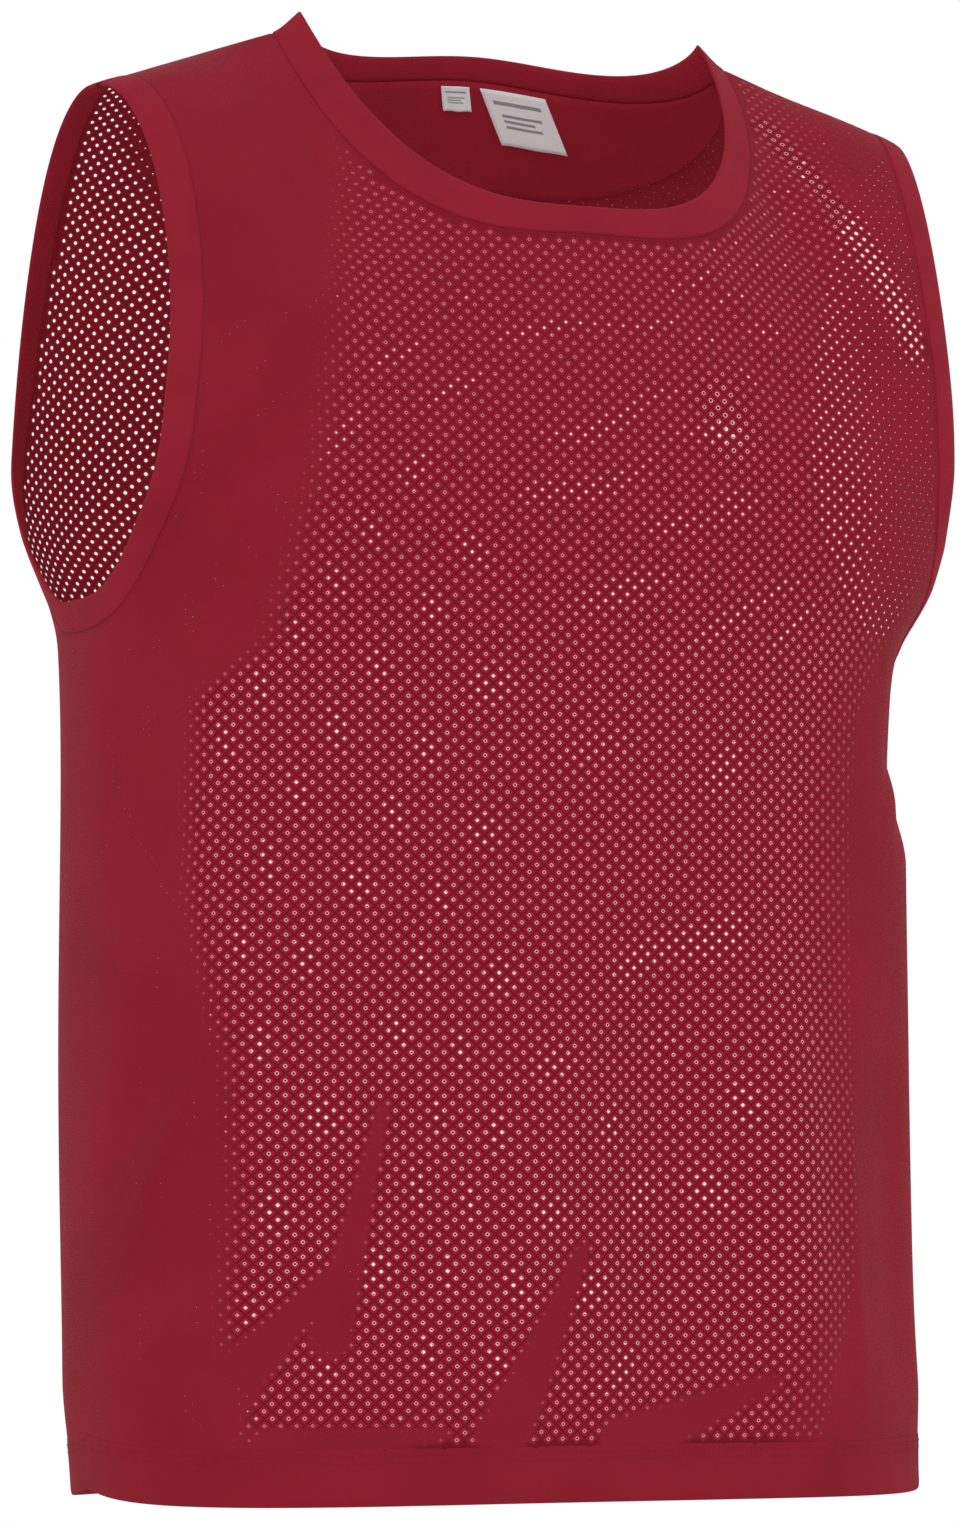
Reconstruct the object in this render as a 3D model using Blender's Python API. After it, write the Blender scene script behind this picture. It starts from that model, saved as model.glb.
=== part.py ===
"""Training bib: a sleeveless mesh vest, filled out as it is worn, with no wearer.

Every piece is drawn on its flat pattern first: s runs across from the middle of the panel
and t up from the hem, both measured along the cloth. drape() then lays a pattern point on a
general figure. The wearer faces -Y, and the origin lies between the two neck points.
"""

import math

import bmesh
import bpy
import numpy as np

# Cut of the garment, metres
HALF_PANEL = 0.280        # middle to side seam, a quarter of the girth
HEM_HEIGHT = -0.710       # hem, below the neck points
HEM_TURN = 0.025          # cloth turned up at the hem
HEM_RISE = 0.009          # lift of the hem at the side seams
HEM_SWEEP = 0.004         # lift of the hem at the middle
HEM_DRAW = 0.005          # how far the hem is drawn in
HEM_DRAW_HEIGHT = 0.060
UNDERARM = 0.411          # hem to the armhole seam, at the side seam
NECK_SEAM = 0.119         # middle to the neck seam, on the shoulder
FRONT_NECK_DROP = 0.186   # shoulder line to the neck seam at the middle, along the cloth
BACK_NECK_DROP = 0.055
TIP_SEAM = 0.201          # middle to the armhole seam, on the shoulder
FRONT_SCOOP = 0.013       # how much deeper the front armhole is cut than at the shoulder
ARMHOLE_SQUARENESS = (3.0, 2.4)   # of the front and back armhole's lower corner
NECK_BAND = 0.013
NECK_STAND = 0.007        # how far the neck band stands up on the shoulders
ARM_BAND = 0.014
SEAM_GAP = 0.0003         # between pieces that are sewn together

# Thickness of each wall, metres
MESH_WALL = 0.0012
HEM_WALL = 0.0022
BAND_WALL = 0.0020
BAND_PROUD = 0.0004       # a band's outer face above the panel's
FACING_WALL = 0.0010
LABEL_WALL = 0.0010

# Facing and labels inside the back neck
FACING_ROWS = 4           # depth of the half-moon at the middle, in rows of the back panel
LABEL_CLEAR = 0.0011      # from the facing, whose faces lie a little inside its points
LABELS = (
    # name, middle across, width, height, lean of its lower edge
    ("label_main", 0.0235, 0.0350, 0.0300, 0.0100),
    ("label_size", -0.0075, 0.0155, 0.0135, 0.0020),
)
LABEL_TOP = 0.003         # below the neck seam

# The figure: half its width, half its depth and where its middle lies, at each height
FIGURE = (
    # height, half_width, half_depth, middle_y
    (-0.710, 0.2165, 0.1220, 0.000),
    (-0.570, 0.2125, 0.1270, 0.012),
    (-0.430, 0.2115, 0.1300, 0.016),
    (-0.330, 0.2120, 0.1310, 0.0150),
    (-0.250, 0.2200, 0.1330, 0.0120),
)
SQUARENESS = 2.4          # 2 would make each level section an ellipse
CHEST_SQUARENESS = 3.4    # between the armholes, where the panels hang flatter
CHEST_HALF_WIDTH = 0.232
CHEST_START = 0.405       # up from the hem, where the section starts to change
CHEST_FULL = 0.500
BEND_HEIGHT = -0.250      # above this the cloth bends back over the shoulders
SHOULDER_PEAK = 0.0367    # where the two shoulder lines would meet, above the neck points
SHOULDER_SLOPE = 0.36
SHOULDER_BLEND = 0.040
CHEST_ROUNDNESS = 2.30    # curve from the bend up to the shoulder line: 1 sloping, 2 an ellipse
NAPE_ROUNDNESS = 1.05
NECK_ROUNDNESS = 1.05
TIP_ROUNDNESS = 2.00

# Largest folds, on the pattern: a ridge where proud is positive, a trough where it isn't
FOLD_COLUMNS = ("side", "s0", "t0", "s1", "t1", "width", "proud")
FOLDS = (
    ("front", -0.225, 0.500, -0.080, 0.590, 0.024, 0.0060),
    ("front", -0.235, 0.440, -0.110, 0.520, 0.022, -0.0055),
    ("front", 0.235, 0.440, 0.125, 0.560, 0.026, -0.0060),
    ("front", 0.222, 0.430, 0.228, 0.320, 0.034, -0.0130),
    ("front", -0.225, 0.400, -0.215, 0.280, 0.026, -0.0060),
    ("front", -0.190, 0.030, -0.165, 0.330, 0.024, 0.0080),
    ("front", -0.120, 0.020, -0.095, 0.280, 0.024, -0.0075),
    ("front", -0.050, 0.025, -0.025, 0.230, 0.026, 0.0075),
    ("front", 0.035, 0.020, 0.030, 0.300, 0.028, -0.0075),
    ("front", 0.115, 0.025, 0.095, 0.260, 0.026, 0.0075),
    ("front", 0.195, 0.020, 0.180, 0.250, 0.026, -0.0065),
    ("back", -0.185, 0.400, -0.080, 0.520, 0.026, -0.0060),
    ("back", 0.170, 0.430, 0.070, 0.580, 0.026, -0.0060),
    ("back", -0.180, 0.030, -0.150, 0.330, 0.026, -0.0075),
    ("back", -0.090, 0.025, -0.070, 0.270, 0.026, 0.0070),
    ("back", 0.010, 0.020, 0.000, 0.380, 0.030, -0.0075),
    ("back", 0.100, 0.030, 0.085, 0.250, 0.026, 0.0065),
    ("back", 0.190, 0.020, 0.165, 0.330, 0.026, -0.0070),
)
FOLD_FADE = 0.035         # folds die out this far from a side seam or the shoulder seam

# How finely the walls are divided
ROWS_BODY = 14            # hem to underarm
ROWS_ARMHOLE = 20         # underarm to shoulder tip
ARMHOLE_CROWDING = 1.35   # rows lie closer at the underarm
ROW_DIP = 0.022           # how far the rows run down from the underarm
ROW_DIP_WIDTH = 0.045
COLUMNS_SHOULDER = 6
COLUMNS_NECK = 26
NARROW_START = 0.6        # share of a panel's height where its columns start to gather
NARROW_RUN = 0.3          # into those of the shoulders

FRONT, BACK = -1, 1       # which way along Y a panel faces
RIGHT, LEFT = -1, 1       # the wearer's sides, along X


def smooth(share):
    share = np.clip(share, 0, 1)
    return share * share * (3 - 2 * share)


def figure_at(height):
    """Half width, half depth and middle of the figure's level section, by a curve through FIGURE."""
    table = np.array(FIGURE)
    centre = table[:, 0].mean()
    return [
        np.polyval(np.polyfit(table[:, 0] - centre, column, len(FIGURE) - 1), height - centre)
        for column in table.T[1:]
    ]


# Quarters of level sections, from the middle of a panel to its side
SECTION_ANGLE = np.linspace(0, math.pi / 2, 400)


def quarter(half_width, half_depth, squareness):
    """Width and depth of a quarter's points, and the length of cloth up to each of them."""
    power = 2 / squareness
    across = half_width * np.sin(SECTION_ANGLE) ** power
    along = half_depth * np.maximum(np.cos(SECTION_ANGLE), 0) ** power
    run = np.hypot(np.diff(across), np.diff(along))
    return across, along, np.concatenate([[0], np.cumsum(run)])


def body_section(s):
    """Share of the figure's half width and half depth, for a pattern's s, below the armholes."""
    half_width, half_depth, _ = figure_at(BEND_HEIGHT)
    across, along, length = quarter(half_width, half_depth, SQUARENESS)
    at = np.abs(s) / HALF_PANEL * length[-1]
    width, depth = np.interp(at, length, across), np.interp(at, length, along)
    return np.sign(s) * width / half_width, depth / half_depth


def chest_section(s):
    """Width, and share of the half depth, between the armholes."""
    half_depth = figure_at(BEND_HEIGHT)[1]
    across, along, length = quarter(CHEST_HALF_WIDTH, half_depth, CHEST_SQUARENESS)
    at = np.abs(s)
    return np.sign(s) * np.interp(at, length, across), np.interp(at, length, along) / half_depth


def shoulder_line(x):
    """Height of the shoulder line, which would run on upwards inside the neck."""
    return SHOULDER_PEAK - SHOULDER_SLOPE * np.hypot(x, SHOULDER_BLEND)


def shoulder_roundness(s, side):
    """How round the cloth runs over the shoulder: steep beside the neck, round at the tips."""
    middle = CHEST_ROUNDNESS if side == FRONT else NAPE_ROUNDNESS
    to_middle = smooth(1 - np.abs(s) / NECK_SEAM)
    to_tip = smooth((np.abs(s) - NECK_SEAM) / (TIP_SEAM - NECK_SEAM))
    return (
        NECK_ROUNDNESS
        + (middle - NECK_ROUNDNESS) * to_middle
        + (TIP_ROUNDNESS - NECK_ROUNDNESS) * to_tip
    )


def over_shoulder(angle, roundness):
    """Unit depth and rise of the curve that runs from the chest or back up to the shoulder line."""
    return np.maximum(np.cos(angle), 0) ** (2 / roundness), np.sin(angle)


# The shoulder curve at stations across each panel, by length along it
STATIONS = np.linspace(0, 1, 29)
BEND_ANGLE = np.linspace(0, math.pi / 2, 90)


def share_of_length(across, along):
    """How far along a curve each of its points lies, from 0 to 1, and the curve's length."""
    lengths = np.concatenate([[0], np.cumsum(np.hypot(np.diff(across), np.diff(along)))])
    return lengths / lengths[-1], lengths[-1]


def bend_depth(s, side):
    """How far a panel lies from the shoulder line's plane where the bend starts."""
    _, half_depth, middle = figure_at(BEND_HEIGHT)
    return middle + side * half_depth * chest_section(s)[1]


def bend_curves(side):
    shares, lengths = [], []
    for s in STATIONS * HALF_PANEL:
        depth, rise = over_shoulder(BEND_ANGLE, shoulder_roundness(s, side))
        share, length = share_of_length(
            depth * bend_depth(s, side), rise * (shoulder_line(s) - BEND_HEIGHT)
        )
        shares.append(share)
        lengths.append(length)
    return shares, np.array(lengths)


BENDS = {FRONT: bend_curves(FRONT), BACK: bend_curves(BACK)}
BEND_START = BEND_HEIGHT - HEM_HEIGHT


def shoulder_top(s, side):
    """Where the shoulder line runs on the pattern, up from the hem."""
    return BEND_START + np.interp(np.abs(s) / HALF_PANEL, STATIONS, BENDS[side][1])


def lay(s, t, side):
    """A pattern point on the figure, with no folds."""
    height = np.minimum(HEM_HEIGHT + t, BEND_HEIGHT)
    half_width, half_depth, middle = figure_at(height)
    draw = HEM_DRAW * smooth(1 - t / HEM_DRAW_HEIGHT)
    half_width, half_depth = half_width - draw, half_depth - draw
    width, depth = body_section(s)
    chest_x, chest_depth = chest_section(s)
    chest = smooth((t - CHEST_START) / (CHEST_FULL - CHEST_START))
    x = width * half_width * (1 - chest) + chest_x * chest
    y = middle + side * half_depth * (depth * (1 - chest) + chest_depth * chest)

    up = np.clip((t - BEND_START) / (shoulder_top(s, side) - BEND_START), 0, 1)
    angle = np.zeros_like(up)
    for station, shares in zip(STATIONS, BENDS[side][0]):
        nearness = np.clip(1 - np.abs(np.abs(s) / HALF_PANEL - station) / STATIONS[1], 0, 1)
        angle += nearness * np.interp(up, shares, BEND_ANGLE)
    back, rise = over_shoulder(angle, shoulder_roundness(s, side))
    above = up > 0
    x = np.where(above, x + (s - x) * smooth(up), x)
    y = np.where(above, y * back, y)
    z = np.where(above, BEND_HEIGHT + (shoulder_line(s) - BEND_HEIGHT) * rise, height)
    return np.stack([x, y, z], axis=-1)


def facing_out(place, s, t, side):
    """Outward unit normal of the surface place(s, t, side), level across the seams."""
    step = 0.002
    across = place(np.minimum(s + step, HALF_PANEL), t, side) - place(np.maximum(s - step, -HALF_PANEL), t, side)
    top = shoulder_top(s, side)
    upward = place(s, np.minimum(t + step, top), side) - place(s, t - step, side)
    normal = -side * np.cross(across, upward)
    on_seam = (np.abs(s) > HALF_PANEL - step / 4) | (t > top - step / 4)
    normal[..., 1] = np.where(on_seam, 0, normal[..., 1])
    return normal / np.linalg.norm(normal, axis=-1, keepdims=True)


def folds(s, t, side):
    """How far the cloth stands out from the figure at each pattern point."""
    proud = np.zeros_like(s)
    for row in FOLDS:
        fold = dict(zip(FOLD_COLUMNS, row))
        if fold["side"] != {FRONT: "front", BACK: "back"}[side]:
            continue
        run_s, run_t = fold["s1"] - fold["s0"], fold["t1"] - fold["t0"]
        length = math.hypot(run_s, run_t)
        along = ((s - fold["s0"]) * run_s + (t - fold["t0"]) * run_t) / length ** 2
        off = ((s - fold["s0"]) * run_t - (t - fold["t0"]) * run_s) / length
        ends = smooth(1.25 - 2 * np.abs(along - 0.5))
        proud += fold["proud"] * ends * np.exp(-((off / fold["width"]) ** 2))
    to_side = (HALF_PANEL - np.abs(s)) / FOLD_FADE
    to_shoulder = (shoulder_top(s, side) - t) / FOLD_FADE
    return proud * smooth(to_side) * smooth(to_shoulder)


def folded(s, t, side):
    return lay(s, t, side) + facing_out(lay, s, t, side) * folds(s, t, side)[..., None]


def drape(s, t, side):
    """Position of the cloth's outer face and its outward normal, folds and all."""
    s, t = np.broadcast_arrays(np.asarray(s, float), np.asarray(t, float))
    return folded(s, t, side), facing_out(folded, s, t, side)


def neck_curve(angle, side, into_opening=0.0):
    """The neck seam on the pattern, from one shoulder (-90 degrees) to the other."""
    drop = FRONT_NECK_DROP if side == FRONT else BACK_NECK_DROP
    aim_s, aim_r = -np.sin(angle) / NECK_SEAM, np.cos(angle) / drop
    reach = into_opening / np.hypot(aim_s, aim_r)
    s = NECK_SEAM * np.sin(angle) + reach * aim_s
    below = drop * np.cos(angle) - reach * aim_r
    return s, shoulder_top(s, side) - below


def armhole_curve(angle, side, into_opening=0.0):
    """The left armhole's seam, from the underarm (0 degrees) to the shoulder tip (90)."""
    power = 2 / ARMHOLE_SQUARENESS[0 if side == FRONT else 1]
    scoop = FRONT_SCOOP if side == FRONT else 0

    def seam(angle):
        share = 1 - np.maximum(np.cos(angle), 0) ** power
        inset = HALF_PANEL - TIP_SEAM + scoop * (1 - share ** 6)
        s = HALF_PANEL - inset * np.maximum(np.sin(angle), 0) ** power
        return s, UNDERARM + (shoulder_top(s, side) - UNDERARM) * share

    step = 0.01
    s, t = seam(angle)
    (s0, t0), (s1, t1) = seam(np.maximum(angle - step, 0)), seam(np.minimum(angle + step, math.pi / 2))
    run = np.hypot(s1 - s0, t1 - t0)
    at_underarm, at_tip = angle < step / 2, angle > math.pi / 2 - step / 2
    out_s = np.where(at_tip, 1, np.where(at_underarm, 0, (t1 - t0) / run))
    out_t = np.where(at_tip, 0, np.where(at_underarm, 1, -(s1 - s0) / run))
    s_band = s + into_opening * out_s
    climb = np.where(at_tip, shoulder_top(s_band, side) - shoulder_top(s, side), 0)
    return s_band, t + into_opening * out_t + climb


def even_angles(curve, start, end, count, crowding=1.0):
    """Angles that part a pattern curve into equal lengths, or shorter ones at its start."""
    fine = np.linspace(start, end, 2000)
    shares = np.linspace(0, 1, count + 1) ** crowding
    return np.interp(shares, share_of_length(*curve(fine))[0], fine)


def neck_angles(side):
    return even_angles(lambda a: neck_curve(a, side), -math.pi / 2, math.pi / 2, COLUMNS_NECK)


def armhole_angles(side):
    return even_angles(
        lambda a: armhole_curve(a, side), 0, math.pi / 2, ROWS_ARMHOLE, ARMHOLE_CROWDING
    )


def hem_line(s, above):
    share = np.abs(s / HALF_PANEL)
    return above + HEM_SWEEP * (1 - share ** 2) + HEM_RISE * share ** 6


def panel_grid(side):
    """Pattern points of a panel, rows from the hem up, columns from right to left of the wearer."""
    shoulder_s = np.linspace(TIP_SEAM, NECK_SEAM, COLUMNS_SHOULDER + 1)[:-1]
    shoulder = np.stack([shoulder_s, shoulder_top(shoulder_s, side) - SEAM_GAP / 2])
    neck = np.stack(neck_curve(neck_angles(side), side))
    neck[1, [0, -1]] -= SEAM_GAP / 2
    mirror = np.array([[-1], [1]])
    top = np.hstack([shoulder * mirror, neck, shoulder[:, ::-1]])

    seam = HALF_PANEL - SEAM_GAP / 2
    side_t = np.linspace(hem_line(seam, HEM_TURN + 0.001), UNDERARM, ROWS_BODY + 1)[:-1]
    armhole = np.stack(armhole_curve(armhole_angles(side), side))
    armhole[0, 0] = seam
    armhole[1, -1] -= SEAM_GAP / 2
    left = np.hstack([np.stack([np.full(ROWS_BODY, seam), side_t]), armhole])
    right = left * mirror

    bottom_s = np.linspace(-seam, seam, top.shape[1])
    bottom_t = hem_line(bottom_s, HEM_TURN + 0.001)
    u = np.linspace(0, 1, top.shape[1])[None, :]
    v = ((left[1] - left[1, 0]) / (left[1, -1] - left[1, 0]))[:, None]
    aside = np.minimum(u, 1 - u)

    # Sideways: the armholes push the columns in, at the top those of the shoulder only
    straight = (1 - v) * bottom_s + v * top[0]
    push = left[0][:, None] - straight[:, -1:]
    narrow = smooth((v - NARROW_START) / NARROW_RUN)
    shoulder_share = COLUMNS_SHOULDER / (top.shape[1] - 1)
    reach = (1 - narrow) * (1 - 2 * aside) + narrow * np.clip(1 - aside / shoulder_share, 0, 1)
    across = straight + np.where(u < 0.5, -1, 1) * push * reach

    # Upward: the rows run down from the underarm and bunch up under the neck
    low = np.linspace(left[1, 0], UNDERARM - ROW_DIP, ROWS_BODY + 1)
    rising = np.linspace(0, 1, ROWS_ARMHOLE + 1) ** ARMHOLE_CROWDING
    inside = np.hstack([low[:-1], low[-1] + (left[1, -1] - low[-1]) * rising])[:, None]
    off_side = smooth(aside * 2 * seam / ROW_DIP_WIDTH)
    v = (inside - inside[0]) / (inside[-1] - inside[0])
    upward = left[1][:, None] * (1 - off_side) + inside * off_side
    upward += v ** 3 * (top[1] - top[1, 0]) + (1 - v) * (bottom_t - bottom_t[0])
    grid = np.stack([across, upward])

    hem = [np.stack([bottom_s, hem_line(bottom_s, above)])[:, None, :] for above in (0, HEM_TURN)]
    return np.concatenate(hem + [grid], axis=1)


def cloth_material(name, colour, roughness):
    material = bpy.data.materials.new(name)
    material.use_nodes = True
    shader = material.node_tree.nodes["Principled BSDF"]
    shader.inputs["Base Color"].default_value = (*colour, 1)
    shader.inputs["Roughness"].default_value = roughness
    shader.inputs["Metallic"].default_value = 0
    return material


def wall(name, outer, inner, material, ring=False):
    """A closed wall between two grids of points; a ring's last row joins its first."""
    rows, columns = outer.shape[:2]
    number = np.arange(rows * columns).reshape(rows, columns)
    if ring:
        number = np.vstack([number, number[:1]])
    under = number + rows * columns

    def strip(a, b):
        return list(zip(a[:-1], a[1:], b[1:], b[:-1]))

    faces = []
    for low, high in zip(number[:-1], number[1:]):
        faces += strip(low, high)
    faces += [(a + rows * columns, d + rows * columns, c + rows * columns, b + rows * columns)
              for a, b, c, d in faces]
    faces += strip(under[:, -1], number[:, -1]) + strip(number[:, 0], under[:, 0])
    if not ring:
        faces += strip(under[0], number[0]) + strip(number[-1], under[-1])

    shell = bmesh.new()
    for point in np.concatenate([outer.reshape(-1, 3), inner.reshape(-1, 3)]):
        shell.verts.new(point)
    shell.verts.ensure_lookup_table()
    for face in faces:
        shell.faces.new([shell.verts[i] for i in face])
    bmesh.ops.remove_doubles(shell, verts=shell.verts, dist=1e-6)
    mesh = bpy.data.meshes.new(name)
    shell.to_mesh(mesh)
    shell.free()
    mesh.materials.append(material)
    mesh.shade_smooth()
    bpy.context.scene.collection.objects.link(bpy.data.objects.new(name, mesh))


def across_wall(points, normals, front_to_back):
    """Outer and inner face of a wall, at two depths below the cloth's outer face."""
    return [points - normals * np.asarray(depth)[..., None] for depth in front_to_back]


def panel(name, side, material):
    s, t = panel_grid(side)
    points, normals = drape(s, t, side)
    depth = np.full(s.shape, MESH_WALL)
    depth[:2] = HEM_WALL
    outer, inner = across_wall(points, normals, (0.0, depth))
    if side == BACK:
        outer, inner = outer[:, ::-1], inner[:, ::-1]
    wall(name, outer, inner, material)


def band_ring(strips):
    """Points and normals of a band, station by station round it, from its seam to its edge."""
    points, normals = [], []
    for s, t, side, lift in strips:
        place, normal = drape(s, t, side)
        place[..., 2] += lift
        points.append(place)
        normals.append(normal)
    return np.concatenate(points), np.concatenate(normals)


def neck_band(material):
    widths = np.array([SEAM_GAP, NECK_BAND / 2, NECK_BAND])
    strips = []
    for side in (FRONT, BACK):
        angles = neck_angles(side)[:-1]
        if side == BACK:
            angles = -angles
        s, t = neck_curve(angles[:, None], side, widths[None, :])
        lift = NECK_STAND * (widths / NECK_BAND) ** 1.5 * np.abs(np.sin(angles[:, None])) ** 5
        strips.append((s, t, side, lift))
    points, normals = band_ring(strips)
    outer, inner = across_wall(points, normals, (-BAND_PROUD, BAND_WALL - BAND_PROUD))
    wall("neck_band", outer[:, ::-1], inner[:, ::-1], material, ring=True)


def armhole_band(name, hand, material):
    widths = np.array([SEAM_GAP, ARM_BAND / 2, ARM_BAND])
    strips = []
    for side in (FRONT, BACK):
        angles = armhole_angles(side)
        angles = angles[:-1] if side == FRONT else angles[:0:-1]
        s, t = armhole_curve(angles[:, None], side, widths[None, :])
        strips.append((hand * s, t, side, 0.0))
    points, normals = band_ring(strips)
    outer, inner = across_wall(points, normals, (-BAND_PROUD, BAND_WALL - BAND_PROUD))
    if hand == RIGHT:
        outer, inner = outer[:, ::-1], inner[:, ::-1]
    wall(name, outer, inner, material, ring=True)


def facing_depths():
    top = MESH_WALL + SEAM_GAP
    return top, top + FACING_WALL


def back_neck_facing(material):
    """A half-moon on the back panel's own points, one to FACING_ROWS of its rows deep."""
    ends = COLUMNS_SHOULDER + 1
    grid = panel_grid(BACK)[:, ::-1, ends:-ends]
    depth = np.maximum(np.round(FACING_ROWS * np.cos(neck_angles(BACK)[1:-1])), 1).astype(int)
    row = np.minimum(np.arange(FACING_ROWS + 1)[:, None], depth[None, :])
    column = np.arange(len(depth))[None, :]
    outer, inner = across_wall(*drape(*grid, BACK), facing_depths())
    wall("back_neck_facing", outer[row, column], inner[row, column], material)


def label(name, middle, width, height, lean, material):
    """A label, hanging against the facing, its lower edge leaning to one side."""
    across, down = np.meshgrid(np.linspace(-0.5, 0.5, 5), np.linspace(0, 1, 5))
    s = middle + width * across + lean * down
    seam_t = neck_curve(np.arcsin((middle + width * across) / NECK_SEAM), BACK)[1]
    t = seam_t - LABEL_TOP - height * down
    top = facing_depths()[1] + LABEL_CLEAR
    outer, inner = across_wall(*drape(s, t, BACK), (top, top + LABEL_WALL))
    wall(name, outer, inner, material)


for old in list(bpy.data.objects):
    bpy.data.objects.remove(old, do_unlink=True)

mesh_red = cloth_material("mesh_red", (0.235, 0.012, 0.024), 0.75)
band_red = cloth_material("band_red", (0.205, 0.010, 0.020), 0.80)
label_white = cloth_material("label_white", (0.85, 0.85, 0.84), 0.60)

panel("front_panel", FRONT, mesh_red)
panel("back_panel", BACK, mesh_red)
neck_band(band_red)
armhole_band("armhole_band_right", RIGHT, band_red)
armhole_band("armhole_band_left", LEFT, band_red)
back_neck_facing(band_red)
for row in LABELS:
    label(*row, label_white)
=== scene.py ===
"""Training bib: the looks of a sleeveless mesh vest, filled out as it is worn.

All sizes are in metres. +Z is up, +Y is towards the wearer's back and +X towards the wearer's
left. "Right" and "left" are the wearer's own.
"""

import math

import bmesh
import bpy
import numpy as np
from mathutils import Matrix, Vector


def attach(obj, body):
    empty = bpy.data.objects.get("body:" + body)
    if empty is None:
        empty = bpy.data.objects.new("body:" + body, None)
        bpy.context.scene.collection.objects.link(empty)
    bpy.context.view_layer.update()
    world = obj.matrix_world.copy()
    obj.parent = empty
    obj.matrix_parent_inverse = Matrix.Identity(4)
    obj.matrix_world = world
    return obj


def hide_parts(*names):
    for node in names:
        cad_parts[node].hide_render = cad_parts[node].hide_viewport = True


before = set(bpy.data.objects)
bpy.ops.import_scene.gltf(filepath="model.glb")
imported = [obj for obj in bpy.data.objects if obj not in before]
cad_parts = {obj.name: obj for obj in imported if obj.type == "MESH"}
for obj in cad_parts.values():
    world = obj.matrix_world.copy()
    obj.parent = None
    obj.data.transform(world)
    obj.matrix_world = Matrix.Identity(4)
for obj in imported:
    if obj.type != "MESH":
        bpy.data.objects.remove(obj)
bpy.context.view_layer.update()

# ---------------------------------------------------------------- front and back panel
# Two pieces of crimson polyester net, cut flat and sewn at the sides and shoulders. A point of
# a panel has its place on the flat pattern: s across from the middle, t up from the hem. cloth()
# lays it on the body with the largest folds, as the solids do, and with finer creases.
HALF_PANEL, HEM_HEIGHT, HEM_TURN = 0.280, -0.710, 0.025
HEM_RISE, HEM_SWEEP, HEM_DRAW, HEM_DRAW_HEIGHT = 0.009, 0.004, 0.005, 0.060
UNDERARM, NECK_SEAM, TIP_SEAM = 0.411, 0.119, 0.201
FRONT_NECK_DROP, BACK_NECK_DROP = 0.186, 0.055
FRONT_SCOOP, ARMHOLE_SQUARENESS = 0.013, (3.0, 2.4)
FIGURE = (
    # height, half_width, half_depth, middle_y
    (-0.710, 0.2165, 0.1220, 0.000),
    (-0.570, 0.2125, 0.1270, 0.012),
    (-0.430, 0.2115, 0.1300, 0.016),
    (-0.330, 0.2120, 0.1310, 0.0150),
    (-0.250, 0.2200, 0.1330, 0.0120),
)
SQUARENESS, CHEST_SQUARENESS, CHEST_HALF_WIDTH = 2.4, 3.4, 0.232
CHEST_START, CHEST_FULL = 0.405, 0.500   # where the section turns from body to chest
BEND_HEIGHT = -0.250
SHOULDER_PEAK, SHOULDER_SLOPE, SHOULDER_BLEND = 0.0367, 0.36, 0.040
CHEST_ROUNDNESS, NAPE_ROUNDNESS, NECK_ROUNDNESS, TIP_ROUNDNESS = 2.30, 1.05, 1.05, 2.00
FRONT, BACK = -1, 1
RIGHT, LEFT = -1, 1
SIDE_NAMES = {FRONT: "front", BACK: "back"}

FOLD_COLUMNS = ("side", "s0", "t0", "s1", "t1", "width", "proud")
FOLDS = (
    ("front", -0.225, 0.500, -0.080, 0.590, 0.024, 0.0060),
    ("front", -0.235, 0.440, -0.110, 0.520, 0.022, -0.0055),
    ("front", 0.235, 0.440, 0.125, 0.560, 0.026, -0.0060),
    ("front", 0.222, 0.430, 0.228, 0.320, 0.034, -0.0130),
    ("front", -0.225, 0.400, -0.215, 0.280, 0.026, -0.0060),
    ("front", -0.190, 0.030, -0.165, 0.330, 0.024, 0.0080),
    ("front", -0.120, 0.020, -0.095, 0.280, 0.024, -0.0075),
    ("front", -0.050, 0.025, -0.025, 0.230, 0.026, 0.0075),
    ("front", 0.035, 0.020, 0.030, 0.300, 0.028, -0.0075),
    ("front", 0.115, 0.025, 0.095, 0.260, 0.026, 0.0075),
    ("front", 0.195, 0.020, 0.180, 0.250, 0.026, -0.0065),
    ("back", -0.185, 0.400, -0.080, 0.520, 0.026, -0.0060),
    ("back", 0.170, 0.430, 0.070, 0.580, 0.026, -0.0060),
    ("back", -0.180, 0.030, -0.150, 0.330, 0.026, -0.0075),
    ("back", -0.090, 0.025, -0.070, 0.270, 0.026, 0.0070),
    ("back", 0.010, 0.020, 0.000, 0.380, 0.030, -0.0075),
    ("back", 0.100, 0.030, 0.085, 0.250, 0.026, 0.0065),
    ("back", 0.190, 0.020, 0.165, 0.330, 0.026, -0.0070),
)
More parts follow.
